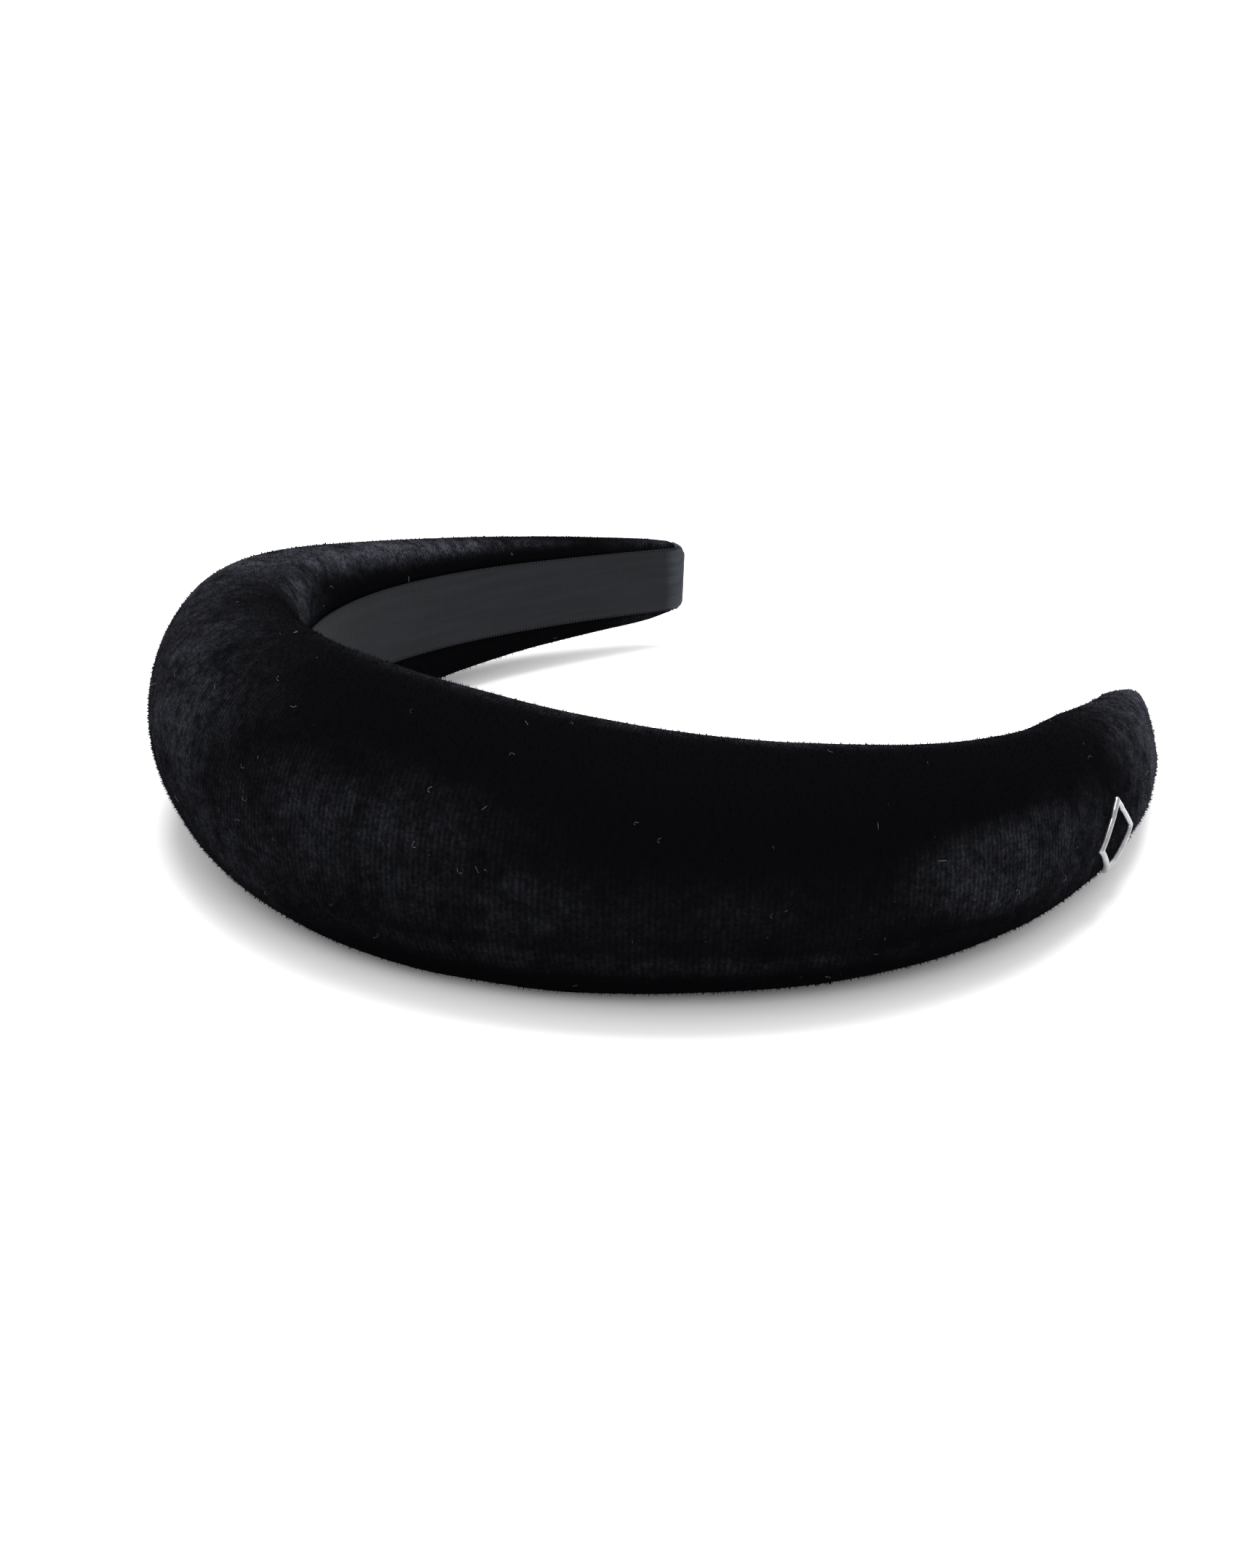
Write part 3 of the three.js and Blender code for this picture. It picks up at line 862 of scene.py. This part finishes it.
def makeVelvetCover():
    end = 1 - cover["tipBare"] / arm
    crowding = cover["crowding"]
    stations = np.sin(np.linspace(-1, 1, cover["stationCount"]) * crowding) / math.sin(crowding) * end
    spread = np.linspace(-1, 1, cover["roundCount"])
    u = np.broadcast_to(stations[:, None], (len(stations), len(spread)))
    a = (np.pi - slitAngle(stations))[:, None] * spread[None, :]
    t = np.abs(u)
    out, across = velvetSkin(u, a, 0.0)
    edge = ribbonHalf(t)
    under = 1 - smooth(np.abs(across), edge + cover["gluedFrom"], edge + cover["gluedTo"])
    under = np.where(np.cos(a) < 0, under, 0)
    held = np.maximum(under, smooth(t, *cover["tipGlued"]))
    badgeAlong = (u - badge["station"]) * arm / badge["roomAlong"]
    badgeAround = (a - np.radians(badge["angle"])) / np.radians(badge["roomRound"])
    badgeNear = np.exp(-badgeAlong ** badge["roomEdge"] - badgeAround ** badge["roomEdge"])
    sewnInset = -puffAt(u, a) * (1 - held)
    out, across = velvetSkin(u, a, sewnInset)
    sewn = place(u, out, across)
    travel = np.zeros(sewn.shape)
    slitShare = np.linspace(0, 1, cover["slitPoints"] + 2)[1:-1]
    slitPoints = mix(sewn[:, -1:], sewn[:, :1], slitShare[None, :, None])
    travel = smoothOver(swell(sewn, held, slitPoints), clothSet["evening"])
    inOut, inAcross = velvetSkin(u, a, sewnInset + layers["velvet"])
    backing = place(u, inOut, inAcross, layers["velvet"])
    face = sewn - backing
    face = face / np.linalg.norm(face, axis=2, keepdims=True)
    sunk = np.minimum((travel * face).sum(2, keepdims=True) + clothSet["mostSink"], 0)
    travel = (travel - face * sunk) * (1 - badgeNear)[..., None]
    outer = sewn + travel
    inner = backing + travel
    lumps = np.array([noise.noise(Vector(p) / cover["lumpSize"]) for p in outer.reshape(-1, 3)])
    soft = (1 - held) * (1 - badgeNear)
    outer = outer + face * (lumps.reshape(u.shape) * soft * cover["lumps"])[..., None]
    outer[..., 2] = np.maximum(outer[..., 2], 0)
    points = np.concatenate([outer, inner[:, ::-1]], axis=1)
    mesh = skinOver("velvetCover", points, stations, caps="wall")
    napAndSheen = napAndSheenAt(u, a)
    giveAttribute(mesh, "napAndSheen", np.concatenate([napAndSheen, napAndSheen[:, ::-1]], axis=1))
    standing = (1 - under) * (1 - smooth(t, *cover["pileEnds"]))
    standing = standing * smooth(outer[..., 2], *cover["pileClear"])
    giveAttribute(mesh, "pile", np.concatenate([standing, np.zeros(u.shape)], axis=1))
    piece = addObject("velvetCover", mesh, velvetMaterial)
    addModifier(piece, "SUBSURF", levels=1, render_levels=1)
    settle(piece)
    return piece


# Tufts of the pile, each thicker than a real one and far fewer, so that they show at the outline.
pileSet = {
    "Density": ("Float", 1050000.0),  # tufts to a square metre
    "Height": ("Float", 0.0011),
    "Radius": ("Float", 0.00018),
    "Tip Radius": ("Float", 0.00001),
    "Smallest": ("Float", 0.7),
    "Largest": ("Float", 1.25),
    "Sink": ("Float", 0.62),  # share of a tuft that is below the face of the pile
    "Lean": ("Float", 0.8),
    "Seed": ("Int", 7),
}


def scatterPoints(tree, given):  # at random over the velvet's face, thinned where its pile lies bare
    pileField = addNode(tree, "GeometryNodeInputNamedAttribute", {"Name": "pile"}, data_type="FLOAT")
    density = addNode(tree, "ShaderNodeMath", {
        0: given["Density"], 1: pileField.outputs["Attribute"],
    }, operation="MULTIPLY")
    points = addNode(tree, "GeometryNodeDistributePointsOnFaces", {
        "Mesh": given["Geometry"], "Density": density.outputs[0], "Seed": given["Seed"],
    }, distribute_method="RANDOM")
    return points


def growPile(velvetPiece):
    tree, given = startTree("pileTufts", pileSet)
    points = scatterPoints(tree, given)
    tuft = addNode(tree, "GeometryNodeMeshCone", {
        "Vertices": 3, "Radius Top": given["Tip Radius"], "Radius Bottom": given["Radius"],
        "Depth": given["Height"],
    }, fill_type="NONE")
    down = addNode(tree, "ShaderNodeMath", {0: given["Height"], 1: given["Sink"]}, operation="MULTIPLY")
    negative = addNode(tree, "ShaderNodeMath", {0: down.outputs[0], 1: -1.0}, operation="MULTIPLY")
    offset = addNode(tree, "ShaderNodeCombineXYZ", {"Z": negative.outputs[0]})
    sunk = addNode(tree, "GeometryNodeTransform", {
        "Geometry": tuft.outputs["Mesh"], "Translation": offset.outputs[0],
    })
    sway = addNode(tree, "FunctionNodeRandomValue", {
        "Min": (-0.5, -0.5, -0.5), "Max": (0.5, 0.5, 0.5), "Seed": given["Seed"],
    }, data_type="FLOAT_VECTOR")
    swayed = addNode(tree, "ShaderNodeVectorMath", {
        0: sway.outputs[0], 3: given["Lean"],
    }, operation="SCALE")
    up = addNode(tree, "ShaderNodeVectorMath", {
        0: points.outputs["Normal"], 1: swayed.outputs[0],
    }, operation="ADD")
    turned = addNode(tree, "FunctionNodeAlignRotationToVector", {"Vector": up.outputs[0]}, axis="Z")
    size = addNode(tree, "FunctionNodeRandomValue", {
        2: given["Smallest"], 3: given["Largest"], "Seed": given["Seed"],
    }, data_type="FLOAT")
    tufts = addNode(tree, "GeometryNodeInstanceOnPoints", {
        "Points": points.outputs["Points"], "Instance": sunk.outputs[0],
        "Rotation": turned.outputs[0], "Scale": size.outputs[1],
    })
    endTree(tree, tufts.outputs[0], velvetMaterial)
    piece = growOn("velvetPile", velvetPiece.data.copy(), tree, pileSet, velvetMaterial)
    bendOverCrown(piece)


# Curled fibres and longer threads, picked at random, a little thicker than real lint.
lintSet = {
    "Density": ("Float", 7500.0),
    "Length": ("Float", 0.0008),
    "Thickness": ("Float", 0.000022),
    "Curl Turns": ("Float", 0.45),
    "Curl Height": ("Float", 0.0004),
    "Thread Reach": ("Float", 1.6),
    "Thread Turns": ("Float", 0.16),
    "Thread Height": ("Float", 0.0002),
    "Smallest": ("Float", 0.12),
    "Largest": ("Float", 1.2),
    "Seed": ("Int", 23),
}


def scatterLint(velvetPiece):
    tree, given = startTree("lintFibres", lintSet)
    points = scatterPoints(tree, given)
    curl = addNode(tree, "GeometryNodeCurveSpiral", {
        "Resolution": 9, "Rotations": given["Curl Turns"], "Start Radius": given["Thickness"],
        "End Radius": given["Length"], "Height": given["Curl Height"],
    })
    section = addNode(tree, "GeometryNodeCurvePrimitiveCircle", {
        "Resolution": 3, "Radius": given["Thickness"],
    })
    reach = addNode(tree, "ShaderNodeMath", {
        0: given["Length"], 1: given["Thread Reach"],
    }, operation="MULTIPLY")
    thread = addNode(tree, "GeometryNodeCurveSpiral", {
        "Resolution": 9, "Rotations": given["Thread Turns"], "Start Radius": given["Length"],
        "End Radius": reach.outputs[0], "Height": given["Thread Height"],
    })
    shapes = addNode(tree, "GeometryNodeJoinGeometry")
    for line in (curl, thread):
        solid = addNode(tree, "GeometryNodeCurveToMesh", {
            "Curve": line.outputs[0], "Profile Curve": section.outputs[0], "Fill Caps": True,
        })
        kept = addNode(tree, "GeometryNodeGeometryToInstance", {"Geometry": solid.outputs[0]})
        tree.links.new(kept.outputs[0], shapes.inputs[0])
    turned = addNode(tree, "FunctionNodeAlignRotationToVector", {
        "Vector": points.outputs["Normal"],
    }, axis="Z")
    size = addNode(tree, "FunctionNodeRandomValue", {
        2: given["Smallest"], 3: given["Largest"], "Seed": given["Seed"],
    }, data_type="FLOAT")
    fibres = addNode(tree, "GeometryNodeInstanceOnPoints", {
        "Points": points.outputs["Points"], "Instance": shapes.outputs[0], "Pick Instance": True,
        "Rotation": turned.outputs[0], "Scale": size.outputs[1],
    })
    spin = addNode(tree, "FunctionNodeRandomValue", {
        "Min": (-0.5, -0.5, 0.0), "Max": (0.5, 0.5, 6.28), "Seed": given["Seed"],
    }, data_type="FLOAT_VECTOR")
    spun = addNode(tree, "GeometryNodeRotateInstances", {
        "Instances": fibres.outputs[0], "Rotation": spin.outputs[0], "Local Space": True,
    })
    endTree(tree, spun.outputs[0], lintMaterial)
    piece = growOn("lintFibres", velvetPiece.data.copy(), tree, lintSet, lintMaterial)
    bendOverCrown(piece)


lining = {
    "stationCount": 361,
    "cornerSteps": 7,
    "cornerShare": 0.8,  # share of a tip's round corner that the ribbon follows
    "picotEnd": 0.985,
    "picotReach": 0.0001,
}

# The small loops along both edges of the ribbon.
picotSet = {
    "Pitch": ("Float", 0.0007),
    "Radius": ("Float", 0.0003),
    "Thickness": ("Float", 0.0003),
}


def makePicots():
    stations = np.linspace(-lining["picotEnd"], lining["picotEnd"], lining["stationCount"])
    half = ribbonHalf(np.abs(stations)) + lining["picotReach"]
    middleOut = -layers["gap"] - layers["ribbon"] / 2
    mesh = bpy.data.meshes.new("picotLine")
    lower, upper = (place(stations, middleOut, side * half, noFloor) for side in (-1, 1))
    step = 0.001
    outwards = place(stations, middleOut, half + step, noFloor) - upper
    facing = place(stations, middleOut + step, half, noFloor) - upper
    count = len(stations)
    edges = [(i, i + 1) for i in range(count - 1)] + [(count + i, count + i + 1) for i in range(count - 1)]
    mesh.from_pydata([tuple(p) for p in np.concatenate([lower, upper])], edges, [])
    for name, values in (("outwards", outwards), ("facing", facing)):
        attribute = mesh.attributes.new(name, "FLOAT_VECTOR", "POINT")
        attribute.data.foreach_set("vector", np.concatenate([values, values]).astype(np.float32).ravel())
    tree, given = startTree("picotEdge", picotSet)
    line = addNode(tree, "GeometryNodeMeshToCurve", {"Mesh": given["Geometry"]})
    paced = addNode(tree, "GeometryNodeResampleCurve", {
        "Curve": line.outputs[0], "Length": given["Pitch"],
    }, mode="LENGTH")
    loop = addNode(tree, "GeometryNodeMeshCylinder", {
        "Vertices": 8, "Radius": given["Radius"], "Depth": given["Thickness"],
    }, fill_type="NGON")
    facingField, outwardField = (
        addNode(tree, "GeometryNodeInputNamedAttribute", {"Name": name}, data_type="FLOAT_VECTOR")
        for name in ("facing", "outwards")
    )
    flat = addNode(tree, "FunctionNodeAlignRotationToVector", {
        "Vector": facingField.outputs["Attribute"],
    }, axis="Z")
    turned = addNode(tree, "FunctionNodeAlignRotationToVector", {
        "Rotation": flat.outputs[0], "Vector": outwardField.outputs["Attribute"],
    }, axis="Y", pivot_axis="Z")
    loops = addNode(tree, "GeometryNodeInstanceOnPoints", {
        "Points": paced.outputs[0], "Instance": loop.outputs["Mesh"], "Rotation": turned.outputs[0],
    })
    endTree(tree, loops.outputs[0], ribbonMaterial)
    piece = growOn("ribbonPicots", mesh, tree, picotSet, ribbonMaterial)
    bendOverCrown(piece)
    return piece


wrap = {
    "length": 0.003,
    "roundCount": 48,
    "stationCount": 12,
    "wall": 0.0012,
    "flat": (0.0131, 0.011),
    "innerRings": 4,
    "innerShares": (0.1, 0.6),  # rings that close the cup inside, as shares of the first one
    "faceShares": (0.92, 0.75, 0.5, 0.25, 0.05),  # rings that close it at its end
    "overVelvet": (0.0022, 0.0015),  # where it steps down onto the velvet's end, from the tip
    "layFrom": 0.97,  # station where the ribs' pattern starts
    "foldReach": 0.0065,  # how far from a tip's end the ribbon is paler
    "foldFull": 0.3,  # share of that reach that is fully paler
    "middle": 0.001,
}


# The lining runs right to both ends, and narrows with their round corners.
def makeRibbonLining(picots):
    corner = bandShape["tipCornerRadius"] / arm
    straight = np.linspace(0, 1 - corner, lining["stationCount"] // 2)
    turn = np.linspace(0, np.pi / 2, lining["cornerSteps"] + 1)[1:]
    oneArm = np.concatenate([straight, 1 - corner * (1 - np.sin(turn))])
    stations = np.concatenate([-oneArm[:0:-1], oneArm])

    def halfAt(t):
        return ribbonHalf(t) - cornerCut(t) * lining["cornerShare"]

    mesh = longStrip("ribbonLining", stations, -layers["gap"] - layers["ribbon"], -layers["gap"], halfAt)
    piece = addObject("ribbonLining", mesh, ribbonMaterial)
    giveFold(piece)
    bendOverCrown(piece)
    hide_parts("ribbon_lining_left", "ribbon_lining_right")


def giveFold(piece):  # how near each point is to a tip's end
    reach = wrap["foldReach"]
    co = np.array([v.co for v in piece.data.vertices])
    away = []
    for side in (-1.0, 1.0):
        end = place(side, wrap["middle"], 0.0, noFloor)
        away.append(np.abs(co[:, 1] - end[1]) + (np.sign(co[:, 0]) != side))
    giveAttribute(piece.data, "fold", 1 - smooth(np.min(away, axis=0), reach * wrap["foldFull"], reach))


# The ribbon's end folded over a tip: a snug cup under the end of the lining and of the velvet.
def makeTipWrap(name, side, body, node):
    start = 1 - wrap["length"] / arm
    turn = np.linspace(0, np.pi / 2, wrap["stationCount"])
    angles = anglesRound(wrap["roundCount"])
    proud = layers["gap"]
    rings = []
    for station in np.linspace(1 - layers["stripEnd"] / arm, start, wrap["innerRings"]):
        rings.append(place(side * station, *sectionPoint(station, angles, wrap["wall"], proud)))
    inner = rings[0].mean(0)
    rings = [inner + (rings[0] - inner) * share for share in wrap["innerShares"]] + rings
    for station in start + (1 - start) * np.sin(turn):
        tuck = layers["velvet"] * (1 - smooth((1 - station) * arm, *wrap["overVelvet"]))
        rings.append(place(side * station, *sectionPoint(station, angles, tuck, proud)))
    middle = rings[-1].mean(0)
    rings += [middle + (rings[-1] - middle) * share for share in wrap["faceShares"]]
    mesh = skinOver(name, np.array(rings), side * np.linspace(wrap["layFrom"], 1.0, len(rings)))
    piece = addObject(name, mesh, ribbonMaterial)
    addModifier(piece, "SUBSURF", levels=1, render_levels=1)
    settle(piece)
    giveFold(piece)
    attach(piece, body)
    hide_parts(node)


badge = {
    "station": 0.69,
    "angle": -13,
    "height": 0.015,
    "length": 0.015,
    "wall": 0.0011,
    "thickness": 0.0012,
    "sink": 0.0003,  # pressed into the pile
    "edgeRound": 0.00022,
    "shoulder": 0.75,  # height of a bar's edges, as a share of its middle's
    "sidePoints": 14,
    "bevelFrom": 20,  # angle between faces that is rounded
    "roomAlong": 0.011,  # the velvet is held smooth round it
    "roomRound": 40,
    "roomEdge": 4,
    "measures": 181,
}


# Points above the velvet, from distances along the arm and across it, measured over the surface.
def onVelvet(alongWay, acrossWay, rise):
    def skin(t, angle):
        return place(t, *velvetSkin(t, angle, -puffAt(t, angle)))

    t = badge["station"] + alongWay / arm
    turned = np.linspace(-math.pi / 2, math.pi / 2, badge["measures"]) + math.radians(badge["angle"])
    steps = np.linalg.norm(np.diff(skin(badge["station"], turned), axis=0), axis=1)
    reach = np.concatenate([[0], np.cumsum(steps)])
    angle = np.interp(acrossWay + reach[len(reach) // 2], reach, turned)
    ahead, aside = 0.001 / arm, 0.02
    alongSkin = skin(t + ahead, angle) - skin(t - ahead, angle)
    roundSkin = skin(t, angle + aside) - skin(t, angle - aside)
    outward = np.cross(alongSkin, roundSkin)
    outward = outward / np.linalg.norm(outward, axis=-1, keepdims=True)
    return skin(t, angle) + outward * rise[..., None]


# A plain open lozenge, pressed from sheet with its edges rounded, and bent to lie on the pad.
def makeBadge():
    slope = math.hypot(badge["length"], badge["height"])
    bottom, top = -badge["sink"], badge["thickness"] - badge["sink"]
    shoulder = mix(bottom, top, badge["shoulder"])
    section = [(0, bottom), (0, shoulder), (0.5, top), (1, shoulder), (1, bottom)]
    sideShares = np.arange(badge["sidePoints"]) / badge["sidePoints"]
    rings = []
    for share, rise in section:
        inset = share * badge["wall"]
        halfLength = badge["length"] / 2 - inset * slope / badge["height"]
        halfHeight = badge["height"] / 2 - inset * slope / badge["length"]
        tips = [(halfLength, 0), (0, halfHeight), (-halfLength, 0), (0, -halfHeight)]
        outline = []
        for k in range(4):
            (x0, y0), (x1, y1) = tips[k], tips[(k + 1) % 4]
            outline += [(mix(x0, x1, f), mix(y0, y1, f)) for f in sideShares]
        rings.append([(x, y, rise) for x, y in outline])
    flat = np.array(rings)
    points = onVelvet(flat[..., 0], flat[..., 1], flat[..., 2])
    mesh = bpy.data.meshes.new("badgePlate")
    count = points.shape[1]
    faces = []
    for r in range(len(section)):
        s = (r + 1) % len(section)
        faces += [(r * count + c, r * count + (c + 1) % count, s * count + (c + 1) % count, s * count + c)
                  for c in range(count)]
    mesh.from_pydata([tuple(p) for p in points.reshape(-1, 3)], [], faces)
    faceOutwards(mesh)
    piece = addObject("badgePlate", mesh, steelMaterial)
    addModifier(piece, "BEVEL", width=badge["edgeRound"], segments=3, limit_method="ANGLE",
                angle_limit=math.radians(badge["bevelFrom"]))
    settle(piece)
    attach(piece, "right_half")
    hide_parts("badge_plate")
    for name in ("badge_prong_front", "badge_prong_back", "badge_backing"):
        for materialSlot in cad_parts[name].material_slots:
            materialSlot.material = steelMaterial


velvetPiece = makeVelvetCover()
growPile(velvetPiece)
scatterLint(velvetPiece)
bendOverCrown(velvetPiece)
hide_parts("velvet_cover_left", "velvet_cover_right")
print("velvet cover made")

makeRibbonLining(makePicots())
makeTipWrap("tipWrapLeft", -1, "left_half", "tip_wrap_left")
makeTipWrap("tipWrapRight", 1, "right_half", "tip_wrap_right")
makeBadge()
print("ribbon and badge made")

studio = {
    "floorSize": 8.0,
    "floorDrop": 0.00005,
    "floorColour": "#f4f4f4",
    "skyStrength": 1.3,
    "keySize": 0.8,
    "keyPower": 18.0,
    "keyPlace": (-0.2, 0.25, 1.1),
    "fillSize": 0.5,
    "fillPower": 2.5,
    "fillPlace": (0.7, -0.4, 0.6),
}


# Matt painted board: an even pale surface that hardly shines.
def makeFloor():
    half, low = studio["floorSize"] / 2, -studio["floorDrop"]
    mesh = bpy.data.meshes.new("floor")
    corners = [(-half, -half, low), (half, -half, low), (half, half, low), (-half, half, low)]
    mesh.from_pydata(corners, [], [(0, 1, 2, 3)])
    material, tree, shader = startMaterial("matPaintedFloor")
    fillSockets(tree, shader, {
        "Base Color": linear(studio["floorColour"]), "Roughness": 0.9, "Specular IOR Level": 0.1,
    })
    addObject("floor", mesh, material)


def addSoftbox(name, size, power, spot):
    data = bpy.data.lights.new(name, "AREA")
    data.shape = "SQUARE"
    data.size = size
    data.energy = power
    lamp = bpy.data.objects.new(name, data)
    lamp.location = spot
    lamp.rotation_mode = "QUATERNION"
    lamp.rotation_quaternion = (-Vector(spot)).to_track_quat("-Z", "Y")
    bpy.context.scene.collection.objects.link(lamp)


def lightStudio():
    world = bpy.data.worlds.new("studioSky")
    world.use_nodes = True
    sky = world.node_tree.nodes["Background"]
    sky.inputs["Color"].default_value = linear("#ffffff")
    sky.inputs["Strength"].default_value = studio["skyStrength"]
    bpy.context.scene.world = world
    addSoftbox("overheadBox", studio["keySize"], studio["keyPower"], studio["keyPlace"])
    addSoftbox("sideBox", studio["fillSize"], studio["fillPower"], studio["fillPlace"])
    bpy.context.scene.view_settings.view_transform = "Standard"


makeFloor()
lightStudio()
print("studio lit")
